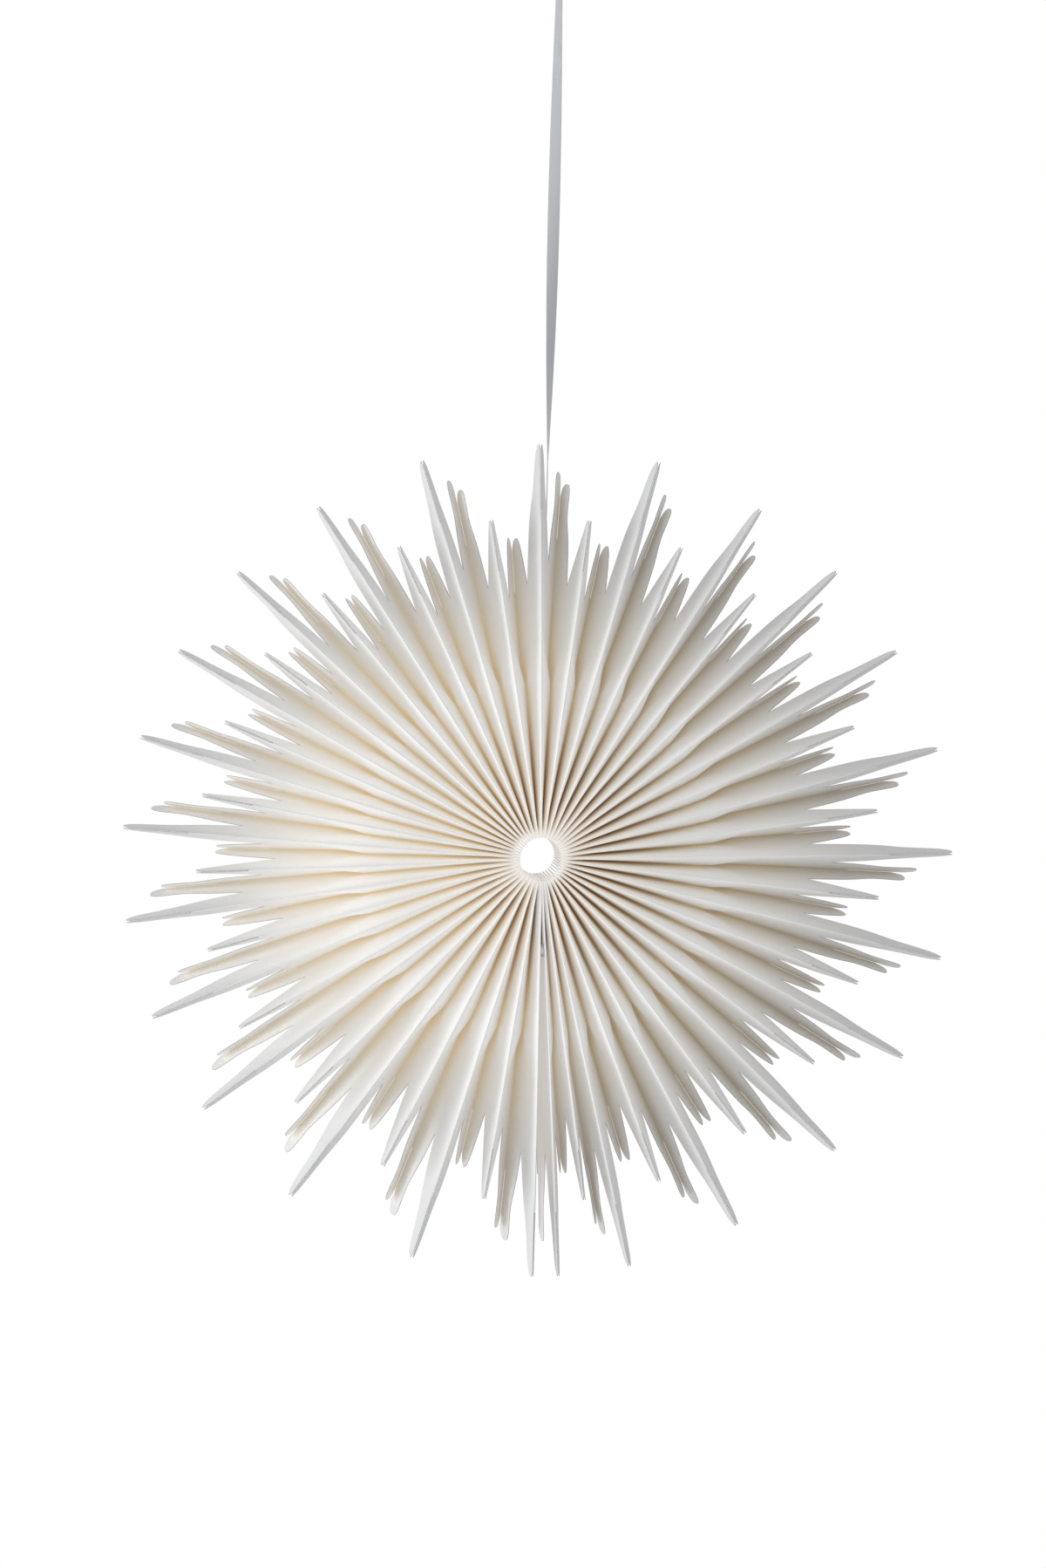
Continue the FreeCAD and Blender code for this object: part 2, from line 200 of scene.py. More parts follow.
# Ranges over which the card's looks change, as (start, stop). These are metres from the hole's axis.
HOLE_RING = (0.0110, 0.0160)
HOLE_WALL = (0.0106, 0.0125)
PLEATS_OPEN = (0.018, 0.080)
NEAR_RIM = (0.10, 0.175)
# The painted brown shade deep among the crowded pleats.
BROWN_STARTS, BROWN_PALES, BROWN_ENDS = (0.012, 0.020), (0.025, 0.080), (0.09, 0.16)
BROWN_SINKS = (0.02, 0.06)  # where it draws back towards the valleys' floors
GAP_END = (0.040, 0.050)
# These are metres across the star, from the lamp's side to the far one.
LAMP_EDGE, LAMP_FALL, LAMP_HALF = (-0.125, -0.045), (-0.06, 0.01), (-0.05, 0.05)
# These are metres up from the axis, and metres aside from the seam.
BELOW_HOLE, SEAM_FACES = (-0.014, -0.010), (0.0022, 0.0050)
# These are shares of a valley's depth, from its ridges to its floor.
VALLEY_WALL, GAP_DEPTH = (0.3, 1.0), (0.5, 0.95)
BROWN_LINE, BROWN_FULL = (0.35, 0.62), 0.95  # where the painted brown shade begins by the hole and further out, and is full
# How strongly the painted glow shows on the card: by the lamp, on valley floors away from it, and more at the
# edge by the lamp.
WINDOW_NEAR, WINDOW_AWAY, WINDOW_EDGE = 1.45, 0.8, 0.35
RIM_GLOW = (0.15, 0.75)  # shares of it that are left by the rim, on ridges and on floors
SEAM_GLOW = 0.9  # how far the painted glow beside the seam takes its place
# These are the values of a noise that show.
NOISE_MIDDLE, FIBRE_RANGE, DULL_RANGE = (0.35, 0.65), (0.45, 0.7), (0.3, 0.7)

# Colours of the painted glow that stands in for daylight through the card.
GLOW_NEAR_LAMP, GLOW_FAR_SIDE = (0.095, 0.078, 0.056, 1), (0.012, 0.003, 0.0, 1)
GLOW_RIDGE = (0.11, 0.10, 0.085, 1)
GLOW_OPEN_RIDGE, GLOW_OPEN_FLOOR = (0.089, 0.087, 0.083, 1), (0.084, 0.074, 0.057, 1)
GLOW_SEAM, GLOW_GAP = (0.120, 0.117, 0.113, 1), (0.020, 0.019, 0.018, 1)
GLOW_HOLE, GLOW_WALL = (0.27, 0.272, 0.275, 1), (0.23, 0.232, 0.235, 1)
# Painted shade: brown deep among the pleats, a lighter and a darker copy by the lamp's side, and a paler one
# further out.
BROWN_NEAR_LAMP, BROWN_FAR_SIDE = (0.88, 0.80, 0.66, 1), (0.62, 0.40, 0.09, 1)
BROWN_OPEN = (0.88, 0.81, 0.69, 1)
# Painted shade in the seam's gap.
PAINTED_GAP_SHADE = (0.45, 0.45, 0.45, 1)
BLACK = (0, 0, 0, 1)


def place_parts(graph, place):
    """How far a point lies across, back and up from the star's middle, and out from the hole's axis."""
    split = graph.node("ShaderNodeSeparateXYZ", None, {"Vector": place})
    across, back, up = (Number(graph, split.outputs[axis]) for axis in "XYZ")
    return across, back, up, graph.math("SQRT", across * across + up * up)


def valley_share(graph, radius, back, behind):
    """How deep a point lies in the valleys of its side of the card: 0 on their ridges, 1 on their floors."""
    if behind:
        return graph.ramp(DEPTH / 2 - back, 0.0, DEPTH)
    opened = graph.ramp(radius, GLUE_RADIUS, GLUE_RADIUS + FADE_LENGTH, smooth=True)
    floor = graph.blend(opened, VALLEY_DEPTH, DEPTH)
    return graph.ramp(back, -DEPTH / 2, floor - DEPTH / 2)


def far_from_lamp(graph, across):
    """0 on the side of the star where the lamp stands, and 1 on the other."""
    return graph.ramp(across, *LAMP_FALL, smooth=True)


def beside_seam(graph, across, up):
    """1 on the faces beside the open seam, which are painted with a paler glow for the daylight that reaches
    through the gap, and 0 elsewhere.
    """
    aside = graph.math("ABSOLUTE", across * math.sin(SEAM) - up * math.cos(SEAM))
    near = 1.0 - graph.ramp(aside, *SEAM_FACES, smooth=True)
    return near * (1.0 - graph.ramp(up, *BELOW_HOLE))


def painted_seam_gap(graph, radius, buried):
    """1 deep in the valleys from the hole to the magnets, where a gap in shade is painted. It is used on the
    seam, where they gape.
    """
    return graph.ramp(buried, *GAP_DEPTH) * (1.0 - graph.ramp(radius, *GAP_END))


def painted_light_through_card(graph, radius, across, buried, by_seam):
    """A painted glow that stands in for the daylight that soaks through thin card: brown among the crowded
    pleats, pale by the rim, brighter on the lamp's side, paler beside the seam, dark in its gap and bright
    round the hole.
    """
    wall = graph.ramp(buried, *VALLEY_WALL)
    floor = graph.colour(far_from_lamp(graph, across), GLOW_NEAR_LAMP, GLOW_FAR_SIDE)
    folded = graph.colour(wall, GLOW_RIDGE, floor)
    opened = graph.colour(wall, GLOW_OPEN_RIDGE, GLOW_OPEN_FLOOR)
    tint = graph.colour(graph.ramp(radius, *PLEATS_OPEN, smooth=True), folded, opened)
    # Painted light: the glow is brighter on the lamp's side, and most at the star's edge there.
    away = graph.blend(buried, WINDOW_NEAR, WINDOW_AWAY)
    window = graph.blend(graph.ramp(across, *LAMP_HALF, smooth=True), WINDOW_NEAR, away)
    window = window + (1.0 - graph.ramp(across, *LAMP_EDGE, smooth=True)) * WINDOW_EDGE
    by_rim = graph.blend(buried, *RIM_GLOW)
    share = window * graph.blend(graph.ramp(radius, *NEAR_RIM, smooth=True), 1.0, by_rim)
    glow = graph.node("ShaderNodeVectorMath", {"operation": "SCALE"}, {0: tint, "Scale": share}).outputs[0]
    # Painted light beside the seam, and painted shade in its gap.
    in_seam = graph.colour(painted_seam_gap(graph, radius, buried), GLOW_SEAM, GLOW_GAP)
    glow = graph.colour(by_seam * SEAM_GLOW, glow, in_seam)
    # Painted light: a bright ring round the hole.
    by_hole = (1.0 - graph.ramp(radius, *HOLE_RING, smooth=True)) * buried
    return graph.colour(by_hole, glow, GLOW_HOLE)


def painted_bounce_brown(graph, radius, across):
    """Painted shade: the brown that light turns as it goes on bouncing between cream pleats, lighter on the
    lamp's side and paler further out.
    """
    crowded = graph.colour(far_from_lamp(graph, across), BROWN_NEAR_LAMP, BROWN_FAR_SIDE)
    return graph.colour(graph.ramp(radius, *BROWN_PALES), crowded, BROWN_OPEN)


def card_material(name, behind):
    """One side of white uncoated card: faint clouds, long fibres and a tooth that shows in raking light, with
    painted brown shade deep among the pleats, a painted grey gap down the seam and a painted glow that stands
    in for light through the card.
    """
    material, graph, shader = new_material(name)
    place = graph.node("ShaderNodeTexCoord").outputs["Object"]
    tooth = graph.noise(place, 1500.0, 3.0)
    stretch = graph.node("ShaderNodeMapping", None, {"Vector": place, "Scale": (260.0, 1400.0, 260.0)})
    fibre = graph.noise(stretch.outputs[0], 1.0, 2.0)
    clouds = graph.ramp(graph.noise(place, 60.0, 4.0), *NOISE_MIDDLE)
    fibres = graph.ramp(fibre, *FIBRE_RANGE)
    white = graph.colour(clouds * 0.6 + fibres * 0.4, (0.895, 0.886, 0.872, 1), (0.925, 0.919, 0.910, 1))
    across, back, up, radius = place_parts(graph, place)
    buried = valley_share(graph, radius, back, behind)
    by_seam = beside_seam(graph, across, up)
    # Painted shade: the card turns brown deep in the crowded valleys near the hole, except beside the seam.
    crowding = graph.ramp(radius, *BROWN_STARTS) * (1.0 - graph.ramp(radius, *BROWN_ENDS, smooth=True))
    start = graph.blend(graph.ramp(radius, *BROWN_SINKS), *BROWN_LINE)
    painted_brown_share = crowding * (1.0 - by_seam) * graph.ramp(buried, start, BROWN_FULL)
    colour = graph.colour(painted_brown_share, white, painted_bounce_brown(graph, radius, across))
    # Painted shade: a grey gap down the seam from the hole to the magnets.
    colour = graph.colour(by_seam * painted_seam_gap(graph, radius, buried), colour, PAINTED_GAP_SHADE)
    height = tooth * 0.6 + fibre * 0.4
    bump = graph.node("ShaderNodeBump", None, {"Height": height, "Strength": 0.12, "Distance": 0.00006})
    # The emission is a painted glow that stands in for daylight through the card.
    graph.fill(shader, {
        "Base Color": colour,
        "Normal": bump.outputs[0],
        "Emission Color": painted_light_through_card(graph, radius, across, buried, by_seam),
        "Emission Strength": 1.0,
        "Roughness": 0.82,
        "Specular IOR Level": 0.2,
    })
    return material


def edge_material():
    """The card's cut edges: rough, darker than its faces, partly from their fibres and partly as painted
    shade, and with a painted glow where they ring the hole.
    """
    material, graph, shader = new_material("cut_edge")
    place = graph.node("ShaderNodeTexCoord").outputs["Object"]
    frayed = graph.ramp(graph.noise(place, 2500.0, 2.0), *NOISE_MIDDLE)
    # Painted shade: the edges are darker than the faces, partly from their fibres.
    shade = graph.colour(frayed, (0.42, 0.41, 0.40, 1), (0.60, 0.59, 0.57, 1))
    radius = place_parts(graph, place)[-1]
    # Painted light: a glow on the edges that ring the hole.
    lit = graph.colour(graph.ramp(radius, *HOLE_WALL), GLOW_WALL, BLACK)
    graph.fill(shader, {
        "Base Color": shade,
        "Emission Color": lit,
        "Emission Strength": 1.0,
        "Roughness": 0.95,
    })
    return material


RIB_PITCH, THREAD_PITCH = 0.0005, 0.00035


def satin_material():
    """Pale grey satin ribbon: fine ribs across it, threads along it and a soft sheen."""
    material, graph, shader = new_material("satin_ribbon")
    place = graph.node("ShaderNodeTexCoord").outputs["Object"]
    split = graph.node("ShaderNodeSeparateXYZ", None, {"Vector": place})
    up = Number(graph, split.outputs["Z"])
    across = Number(graph, split.outputs["Y"]) + Number(graph, split.outputs["X"])
    ribs = graph.math("SINE", up * (2 * math.pi / RIB_PITCH))
    threads = graph.math("SINE", across * (2 * math.pi / THREAD_PITCH))
    weave = ribs * 0.6 + threads * 0.4
    colour = graph.colour(graph.ramp(weave, -1.0, 1.0), (0.62, 0.62, 0.635, 1), (0.78, 0.78, 0.795, 1))
    bump = graph.node("ShaderNodeBump", None, {"Height": weave, "Strength": 0.35, "Distance": 0.00004})
    graph.fill(shader, {
        "Base Color": colour,
        "Normal": bump.outputs[0],
        "Roughness": 0.42,
        "Sheen Weight": 0.1,
    })
    return material


def magnet_material():
    """Nickel plate that is duller in places."""
    material, graph, shader = new_material("nickel_plate")
    place = graph.node("ShaderNodeTexCoord").outputs["Object"]
    rough = graph.blend(graph.ramp(graph.noise(place, 900.0, 3.0), *DULL_RANGE), 0.22, 0.4)
    graph.fill(shader, {"Base Color": (0.55, 0.55, 0.54, 1), "Metallic": 1.0, "Roughness": rough})
    return material


# ---------------------------------------------------------------- leaves
def crease_ray(name, side, reach):
    """The angle of a leaf's crease, read from its end at that reach. Side -1 is the front, and 1 the back."""
    ends = [
        v.co for v in bpy.data.objects[name].data.vertices
        if v.co.y * side > DEPTH / 2 + CROWN / 2 and abs(math.hypot(v.co.x, v.co.z) - reach) < END_SLACK
    ]
    middle = sum(ends, Vector()) / len(ends)
    return math.atan2(middle.z, middle.x)


def smooth(points, steps=5):
    """A smooth line through a row of points."""
    first, last = points[0] * 2 - points[1], points[-1] * 2 - points[-2]
    padded = [first, *points, last]
    line = []
    for a, b, c, d in zip(padded, padded[1:], padded[2:], padded[3:]):
        for step in range(steps):
            t = step / steps
            line.append(
                b + (c - a) * (t / 2) + (a * 2 - b * 5 + c * 4 - d) * (t * t / 2)
                + (b * 3 - a - c * 3 + d) * (t * t * t / 2)
            )
    return [*line, points[-1]]


def blade(tip, fold, cut, notch, wide=1.0):
    """A blade and the cut beside it: (centre to the point, crease to the point), crease first, notch last."""
    side = [
        (tip - TIP_BACK, CUT_INSET),
        (tip, CUT_INSET + TIP_MIDDLE * wide),
        (tip - TIP_BACK, CUT_INSET + TIP_DEEP * wide),
    ]
    if tip > SHORT_TIP:
        broader = wide - 1.0
        side.append((tip - FLANK_BACK, FLANK_DEEP + FLANK_WIDER * broader))
        side.append((tip - ROOT_BACK, ROOT_DEEP + ROOT_WIDER * broader))
    side.append((notch, DEPTH / 2))
    return [Vector((fold, 0)), Vector((cut, CUT_INSET)), *smooth([Vector(p) for p in side])]


def blades(panel):
    """The cut rim of one of a leaf's panels, from one crease to the next."""
    first, second, notch = RIMS[panel]
    start = panel * PITCH + BEND / 2
    # every other panel starts at a back crease
    wide = (BACK_WIDER, 1.0) if panel % 2 == 0 else (1.0, BACK_WIDER)
    near = [Vector((p.x, start + p.y)) for p in blade(*first, notch, wide[0])]
    far = [Vector((p.x, start + DEPTH - p.y)) for p in blade(*second, notch, wide[1])]
    return near + far[-2::-1]


LONG = (LONG_TIP, LONG_FOLD, LONG_CUT)
LONG_FAR = (LONG_TIP_BACK, LONG_FOLD, LONG_CUT)
SHORT = (SHORT_TIP, SHORT_FOLD, SHORT_CUT)
# the rims of a leaf's panels: each lies between the crease before it and the crease after it
RIMS = (
    (SHORT, SHORT, NOTCH_SHORT),
    (SHORT, LONG_FAR, NOTCH_MIXED),
    (LONG, LONG, NOTCH_LONG),
    (LONG, SHORT, NOTCH_MIXED),
)


def flat_leaf(name, first, last, with_flap):
    """The die-cut sheet of a leaf, laid flat: X out from the hole, Y across the panels from first to last."""
    rim = []
    for panel in range(first, last + 1):
        rim += blades(panel)
    near, far = rim[0].y, rim[-1].y
    if with_flap:
        root = (last + 1) * PITCH + BEND / 2
        rim += [
            Vector((FLAP_END, far)),
            Vector((FLAP_END, root)),
            Vector((FLAP_END - FLAP_WIDTH / 2, root + FLAP_WIDTH)),
            Vector((FLAP_START + FLAP_WIDTH / 2, root + FLAP_WIDTH)),
            Vector((FLAP_START, root)),
            Vector((FLAP_START, far)),
        ]
    rim += [Vector((HOLE_RADIUS, far)), Vector((HOLE_RADIUS, near))]
    sheet = bmesh.new()
    sheet.faces.new([sheet.verts.new((p.x, p.y, 0)) for p in rim])
    rows = [*INNER_ROWS, *(GLUE_RADIUS + FADE_LENGTH * share for share in FADE_ROWS), *OUTER_ROWS]
    columns = []
    for panel in range(first, last + 2):
        start = panel * PITCH
        columns.append(start)
        columns.append(start + BEND / 2)
        columns += [start + BEND / 2 + DEPTH * share for share in (*HALF_COLUMNS, *FAR_COLUMNS)]
    for place in rows:
        cut(sheet, (place, 0, 0), (1, 0, 0))
    for place in columns:
        if near < place < max(p.y for p in rim):
            cut(sheet, (0, place, 0), (0, 1, 0))
    mesh = bpy.data.meshes.new(name)
    sheet.to_mesh(mesh)
    sheet.free()
    return mesh


def cut(sheet, point, normal):
    """Score a flat sheet along a line."""
    everything = sheet.verts[:] + sheet.edges[:] + sheet.faces[:]
    bmesh.ops.bisect_plane(sheet, geom=everything, dist=1e-7, plane_co=point, plane_no=normal)


# the creases that bound a leaf's panels, by turns at the back and the front, and the next leaf's first ridge
CREASES = ("Joint before", "Short ridge", "Back crease", "Long ridge", "Joint after", "Short ridge after")
FOLD_SIZES = {
    "Depth": DEPTH,
    "Card": CARD,
    "Glue radius": GLUE_RADIUS,
    "Fade length": FADE_LENGTH,
    "Valley depth": VALLEY_DEPTH,
    "Cling": CLING,
    "Curl": CURL,
    "Curl start": SHORT_CUT,
    "Curl end": LONG_TIP,
    "Seam open": SEAM_OPEN,
    "Seam shut": SEAM_SHUT,
    "Seam air": SEAM_AIR,
}


def folding_tree():
    """Geometry nodes that fold a flat leaf into its place in the star."""
    tree = bpy.data.node_groups.new("fold_a_leaf", "GeometryNodeTree")
    face = tree.interface
    face.new_socket("Geometry", in_out="INPUT", socket_type="NodeSocketGeometry")
    for name in (*CREASES, *FOLD_SIZES, "Seam panel", "Seam angle"):
        face.new_socket(name, in_out="INPUT", socket_type="NodeSocketFloat")
    face.new_socket("Material", in_out="INPUT", socket_type="NodeSocketMaterial")
    face.new_socket("Geometry", in_out="OUTPUT", socket_type="NodeSocketGeometry")
    graph = Graph(tree)
    given = graph.node("NodeGroupInput").outputs
    creases = [Number(graph, given[name]) for name in CREASES]
    sizes = {name: Number(graph, given[name]) for name in FOLD_SIZES}
    seam_panel, seam_angle = Number(graph, given["Seam panel"]), Number(graph, given["Seam angle"])
    depth, half_card = sizes["Depth"], sizes["Card"] * 0.5
    half_bend = half_card * (math.pi / 2)
    pitch = depth + half_bend * 2.0

    place = graph.node("GeometryNodeInputPosition").outputs[0]
    split = graph.node("ShaderNodeSeparateXYZ", None, {"Vector": place})
    radius, across = Number(graph, split.outputs["X"]), Number(graph, split.outputs["Y"])

    # which panel a point is on, how far it is across it, and how far into the turn of a crease
    panel = graph.math("FLOOR", (across + ROUNDING) / pitch)
    along = (across - panel * pitch - half_bend) / depth
    share = graph.math("MINIMUM", graph.math("MAXIMUM", along, 0.0), 1.0)
    turn = graph.math("ABSOLUTE", along - share) * (depth / half_bend)
    odd = graph.math("MODULO", panel, 2.0)
    from_front = graph.blend(odd, 1.0 - share, share)
    side = odd * 2.0 - 1.0  # 1 where a panel starts at a front crease, -1 where it starts at a back one

    # the angles of the creases that it lies between
    out = graph.ramp(radius, sizes["Curl start"], sizes["Curl end"])
    curl = out * out * sizes["Curl"]

    def crease_angle(number):
        angle = creases[0]
        for before, (low, high) in enumerate(zip(creases, creases[1:])):
            passed = graph.math("MINIMUM", graph.math("MAXIMUM", number - float(before), 0.0), 1.0)
            angle = angle + (high - low) * passed
        wander = graph.math("SINE", angle * QUICK_WAVE) + graph.math("SINE", angle * SLOW_WAVE + SLOW_START)
        return angle + wander * curl

    first, second = crease_angle(panel), crease_angle(panel + 1.0)
    front_angle = graph.blend(odd, second, first)
    back_angle = graph.blend(odd, first, second)

    # an end panel has a free back edge, which runs beside its own ridge and then against the seam
    at_seam = graph.math("COMPARE", panel, seam_panel, 0.5)
    shut = graph.ramp(radius, sizes["Seam open"], sizes["Seam shut"], smooth=True)
    free_angle = graph.blend(shut, front_angle, seam_angle)
    back_angle = graph.blend(at_seam, back_angle, free_angle)

    # panels are glued together behind the valleys and open out beyond
    freed = graph.ramp(radius, sizes["Glue radius"], sizes["Glue radius"] + sizes["Fade length"], smooth=True)
    glued = (1.0 - freed) * (1.0 - at_seam)
    pressed = graph.math("MINIMUM", from_front * (depth / sizes["Valley depth"]), 1.0)
    open_out = graph.blend(sizes["Cling"], from_front, graph.ramp(from_front, 0.0, 1.0, smooth=True))
    lean = graph.blend(glued, open_out, pressed)

    # half the card's thickness keeps neighbours apart, and runs out in the turn of a crease
    on_flap = graph.math("GREATER_THAN", panel, PANELS - 0.5)
    flap_root = graph.math("COMPARE", graph.math("ROUND", across / pitch), float(PANELS), 0.5)
    aside = side * half_card
    back_offset = on_flap * sizes["Card"] - aside
    seam_offset = graph.blend(shut, aside, -1.0 * aside - side * sizes["Seam air"])
    back_offset = graph.blend(at_seam, back_offset, seam_offset)
    offset = graph.blend(turn, graph.blend(lean, aside, back_offset), flap_root * half_card)

    def ray(angle):
        return graph.math("COSINE", angle), graph.math("SINE", angle)

    (front_x, front_z), (back_x, back_z) = ray(front_angle), ray(back_angle)
    mid_x, mid_z = graph.blend(lean, front_x, back_x), graph.blend(lean, front_z, back_z)
    x = radius * mid_x - offset * mid_z
    z = radius * mid_z + offset * mid_x
    outward = from_front * 2.0 - 1.0
    y = outward * (depth * 0.5) + turn * outward * half_card
    folded = graph.node("ShaderNodeCombineXYZ", None, {"X": x, "Y": y, "Z": z})
    moved = graph.node(
        "GeometryNodeSetPosition",
        None,
        {"Geometry": given["Geometry"], "Position": folded.outputs[0]},
    )
    real = graph.node("GeometryNodeRealizeInstances", None, {"Geometry": moved.outputs[0]})
    painted = graph.node(
        "GeometryNodeSetMaterial",
        None,
        {"Geometry": real.outputs[0], "Material": given["Material"]},
    )
    graph.node("NodeGroupOutput", None, {"Geometry": painted.outputs[0]})
    return tree


def fold_leaf(name, tree, sheet, values):
    """Run the folding tree on a flat sheet, give the card its thickness and keep the plain mesh."""
    flat = bpy.data.objects.new(name + "_flat", sheet)
    bpy.context.scene.collection.objects.link(flat)
    fold = flat.modifiers.new("fold", "NODES")
    fold.node_group = tree
    for item in tree.interface.items_tree:
        if item.in_out == "INPUT" and item.name in values:
            fold[item.identifier] = values[item.name]
    thick = flat.modifiers.new("thickness", "SOLIDIFY")
    thick.thickness = CARD
    thick.offset = 0.0
    graph = bpy.context.evaluated_depsgraph_get()
    mesh = bpy.data.meshes.new_from_object(flat.evaluated_get(graph))
    bpy.data.objects.remove(flat)
    piece = bpy.data.objects.new(name, mesh)
    bpy.context.scene.collection.objects.link(piece)
    return piece


def paint_sides(mesh, count, behind, edge):
    """Paint a leaf's rear side and its cut edges. Its two sides come first, with count faces each."""
    mesh.materials.append(behind)
    mesh.materials.append(edge)
    foremost = min(mesh.polygons[:2 * count], key=lambda face: face.center.y)
    rear = slice(count, 2 * count) if foremost.index < count else slice(0, count)
    for face in mesh.polygons[rear]:
        face.material_index = 1
    for face in mesh.polygons[2 * count:]:
        face.material_index = 2


def crease_rays():
    """The angle of every crease in order, from the first long ridge to the last."""
    rays = []
    for name in LEAVES:
        if name != LEAVES[0]:
            rays += [crease_ray(name, -1, SHORT_FOLD), crease_ray(name, 1, LONG_FOLD)]
        rays.append(crease_ray(name, -1, LONG_FOLD))
        if name != LEAVES[-1]:
            rays.append(crease_ray(name, 1, FLAP_END))
    for i in range(1, len(rays)):
        rays[i] = rays[i - 1] + (rays[i] - rays[i - 1]) % (2 * math.pi)
    return rays


def make_leaves(front, behind, edge):
    """Replace every CAD leaf with its folded sheet. The first has two panels, and the last has no flap."""
    tree = folding_tree()
    rays = crease_rays()
    for i, name in enumerate(LEAVES):
        is_first, is_last = i == 0, i == len(LEAVES) - 1
        first_panel = PANELS // 2 if is_first else 0
        seam_panel = first_panel if is_first else PANELS - 1 if is_last else -1
        sheet = flat_leaf(name + "_sheet", first_panel, PANELS - 1, not is_last)
        nearby = range(PANELS * i - 3, PANELS * i + 3)  # the fourth of them is the leaf's long ridge
        angles = [rays[min(max(crease, 0), len(rays) - 1)] for crease in nearby]
        values = {
            **FOLD_SIZES,
            **dict(zip(CREASES, angles)),
            "Seam panel": float(seam_panel),
            "Seam angle": SEAM + 2 * math.pi * is_last,
            "Material": front,
        }
        piece = fold_leaf(name.replace("leaf", "folded_leaf"), tree, sheet, values)
        paint_sides(piece.data, len(sheet.polygons), behind, edge)
        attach(piece, "root")
        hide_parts(name)


# ---------------------------------------------------------------- ribbon
RIBBON_WIDTH, RIBBON_THICK = 0.006, 0.0004
# the strip's section, with its corners taken off: shares of its half width and its half thickness
RIBBON_SECTION = (
    (-1, -0.6), (-0.92, -1), (0.92, -1), (1, -0.6),
    (1, 0.6), (0.92, 1), (-0.92, 1), (-1, 0.6),
)
TWIST_START, TWIST_END = 0.195, 0.446  # heights between which the ribbon turns
# degrees: how it stands at first, how far it would turn at its first rate, and by how much it turns less
EDGE_ON, TURN, SLOWING = 90, 205, 50


def ribbon_route():
    """The ribbon's own line: straight up from its glued foot to the knot."""
    low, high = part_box("ribbon")
    curve = bpy.data.curves.new("ribbon_line", "CURVE")
    curve.dimensions = "3D"
    curve.resolution_u = 48
    spline = curve.splines.new("NURBS")
    heights = [low[2] + (high[2] - low[2]) * step / 3 for step in range(4)]
    spline.points.add(len(heights) - 1)
    for point, height in zip(spline.points, heights):
        point.co = (0, 0, height, 1)
    spline.order_u = 3
    spline.use_endpoint_u = True
    line = bpy.data.objects.new("ribbon_line", curve)
    bpy.context.scene.collection.objects.link(line)
    mesh = bpy.data.meshes.new_from_object(line.evaluated_get(bpy.context.evaluated_depsgraph_get()))
    points = [v.co.copy() for v in mesh.vertices]
    bpy.data.objects.remove(line)
    return points


def ribbon_turn(height):
    """How the ribbon stands: edge on by the star, face on halfway up and nearly edge on at the top."""
    share = min(max((height - TWIST_START) / (TWIST_END - TWIST_START), 0.0), 1.0)
    return math.radians(EDGE_ON - TURN * share + SLOWING * share * share)


def make_ribbon(material):
    """Replace the CAD ribbon with a strip that turns on its way up, and return it with its line."""
    points = ribbon_route()
    mesh = bmesh.new()
    rings = []
    for point in points:
        angle = ribbon_turn(point.z)
        wide = Vector((math.cos(angle), math.sin(angle), 0)) * (RIBBON_WIDTH / 2)
        thick = Vector((-math.sin(angle), math.cos(angle), 0)) * (RIBBON_THICK / 2)
        rings.append([mesh.verts.new(point + wide * a + thick * b) for a, b in RIBBON_SECTION])
    for low, high in zip(rings, rings[1:]):
        for i in range(len(low)):
            j = (i + 1) % len(low)
            mesh.faces.new((low[i], low[j], high[j], high[i]))
    mesh.faces.new(rings[0][::-1])
    mesh.faces.new(rings[-1])
    data = bpy.data.meshes.new("ribbon_strip")
    mesh.to_mesh(data)
    mesh.free()
    for face in data.polygons:
        face.use_smooth = True
    data.materials.append(material)
    strip = bpy.data.objects.new("ribbon_strip", data)
    bpy.context.scene.collection.objects.link(strip)
    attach(strip, "root")
    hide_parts("ribbon")
    return strip, points


def paint(name, material):
    """Give a CAD node a finished material."""
    node = bpy.data.objects[name]
    node.data.materials.clear()
    node.data.materials.append(material)
    return node


# ---------------------------------------------------------------- studio
FLOOR_RADIUS, FLOOR_HEIGHT, FLOOR_GREY = 0.42, -0.6, 0.9
DAYLIGHT, DAYLIGHT_STRENGTH = (0.95, 0.97, 1.0), 0.47
LAMP_PLACE, LAMP_SIZE, LAMP_POWER = (-0.75, -0.5, -0.10), 0.8, 3.9
CAMERA_PLACE = (-0.0346, -0.7460, 0.0268)
CAMERA_TURN, CAMERA_PITCH, CAMERA_ROLL = 2.01, 0.73, 1.42  # degrees
SENSOR, LENS = 36.0, 34.04  # millimetres


def plain_finish(name, grey):
    """A matt grey finish."""
    material, graph, shader = new_material(name)
    graph.fill(shader, {"Base Color": (grey, grey, grey, 1), "Roughness": 0.9})
    return material


def disc(name, radius, height, material):
    """A flat round stage piece."""
    mesh = bmesh.new()
    bmesh.ops.create_circle(mesh, cap_ends=True, segments=96, radius=radius)
    bmesh.ops.translate(mesh, verts=mesh.verts, vec=(0, 0, height))
    data = bpy.data.meshes.new(name)
    mesh.to_mesh(data)
    mesh.free()
    data.materials.append(material)
    made = bpy.data.objects.new(name, data)
    bpy.context.scene.collection.objects.link(made)


def lamp(name, place, size, power, colour):
    """A round soft lamp that is aimed at the star's middle."""
    data = bpy.data.lights.new(name, "AREA")
    data.shape = "DISK"
    data.size = size
    data.energy = power
    data.color = colour
    made = bpy.data.objects.new(name, data)
    made.location = place
    made.rotation_mode = "QUATERNION"
    made.rotation_quaternion = (-Vector(place)).to_track_quat("-Z", "Y")
    bpy.context.scene.collection.objects.link(made)


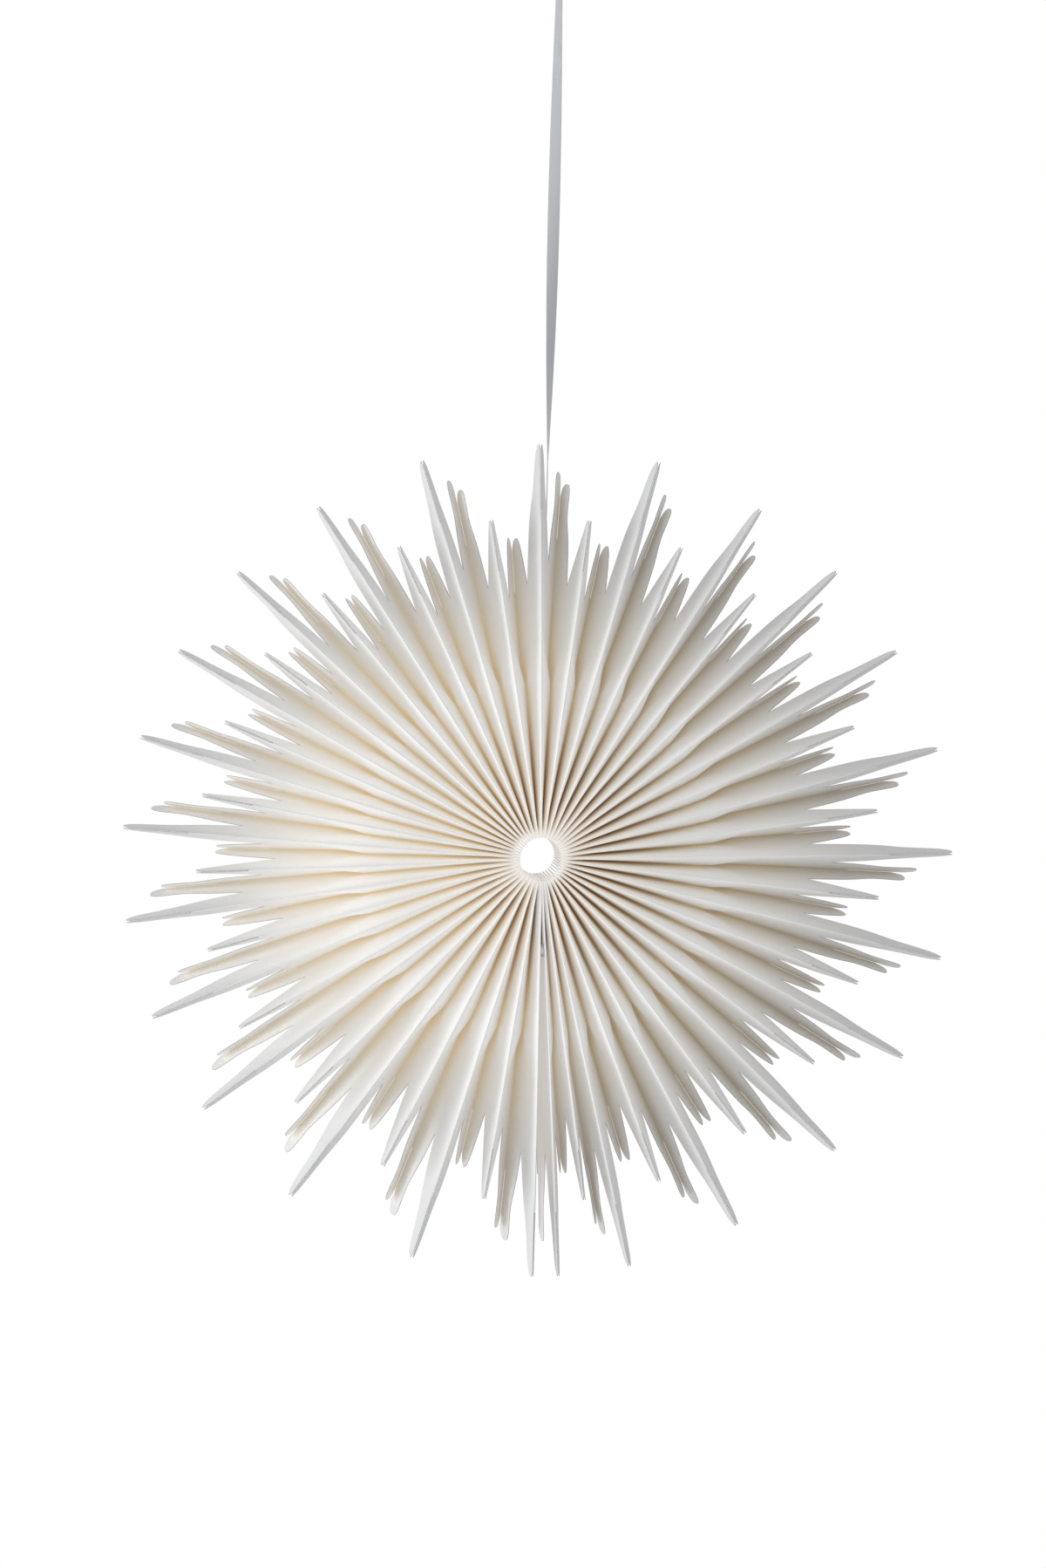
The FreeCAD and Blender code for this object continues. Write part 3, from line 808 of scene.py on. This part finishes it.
def studio():
    """A pale floor, even daylight with a white backdrop, and one lamp at the left."""
    disc("floor", FLOOR_RADIUS, FLOOR_HEIGHT, plain_finish("pale_floor", FLOOR_GREY))
    world = bpy.data.worlds.new("studio")
    bpy.context.scene.world = world
    world.use_nodes = True
    world.node_tree.nodes.clear()
    graph = Graph(world.node_tree)
    path = graph.node("ShaderNodeLightPath")
    seen = Number(graph, path.outputs["Is Camera Ray"])
    for kind in ("Is Glossy Ray", "Is Transmission Ray"):
        seen = seen + Number(graph, path.outputs[kind])
    seen = graph.math("MINIMUM", seen, 1.0)
    soft = graph.node("ShaderNodeBackground", None, {"Color": (*DAYLIGHT, 1), "Strength": DAYLIGHT_STRENGTH})
    white = graph.node("ShaderNodeBackground", None, {"Color": (1, 1, 1, 1), "Strength": 1.0})
    mixed = graph.node("ShaderNodeMixShader", None, {0: seen, 1: soft.outputs[0], 2: white.outputs[0]})
    graph.node("ShaderNodeOutputWorld", None, {"Surface": mixed.outputs[0]})
    lamp("key_lamp", LAMP_PLACE, LAMP_SIZE, LAMP_POWER, DAYLIGHT)


def camera():
    """The camera, a little left of the star's middle and above it, and turned a little to the right."""
    data = bpy.data.cameras.new("camera")
    data.sensor_width = SENSOR
    data.lens = LENS
    made = bpy.data.objects.new("camera", data)
    made.location = CAMERA_PLACE
    yaw, pitch = math.radians(CAMERA_TURN), math.radians(CAMERA_PITCH)
    ahead = Vector((math.sin(yaw) * math.cos(pitch), math.cos(yaw) * math.cos(pitch), math.sin(pitch)))
    made.rotation_mode = "QUATERNION"
    level = ahead.to_track_quat("-Z", "Y")
    made.rotation_quaternion = level @ Quaternion((0, 0, 1), math.radians(CAMERA_ROLL))
    bpy.context.scene.collection.objects.link(made)
    bpy.context.scene.camera = made


# ---------------------------------------------------------------- assembly
bpy.context.scene.view_settings.view_transform = "Standard"
satin = satin_material()
nickel = magnet_material()
make_leaves(card_material("white_card", False), card_material("white_card_behind", True), edge_material())
for name in ("magnet_left", "magnet_right"):
    paint(name, nickel)
knot = paint("knot", satin)
loop = paint("hanging_loop", satin)
strip, route = make_ribbon(satin)
sum((b - a).length for a, b in zip(route, route[1:]))
studio()
camera()
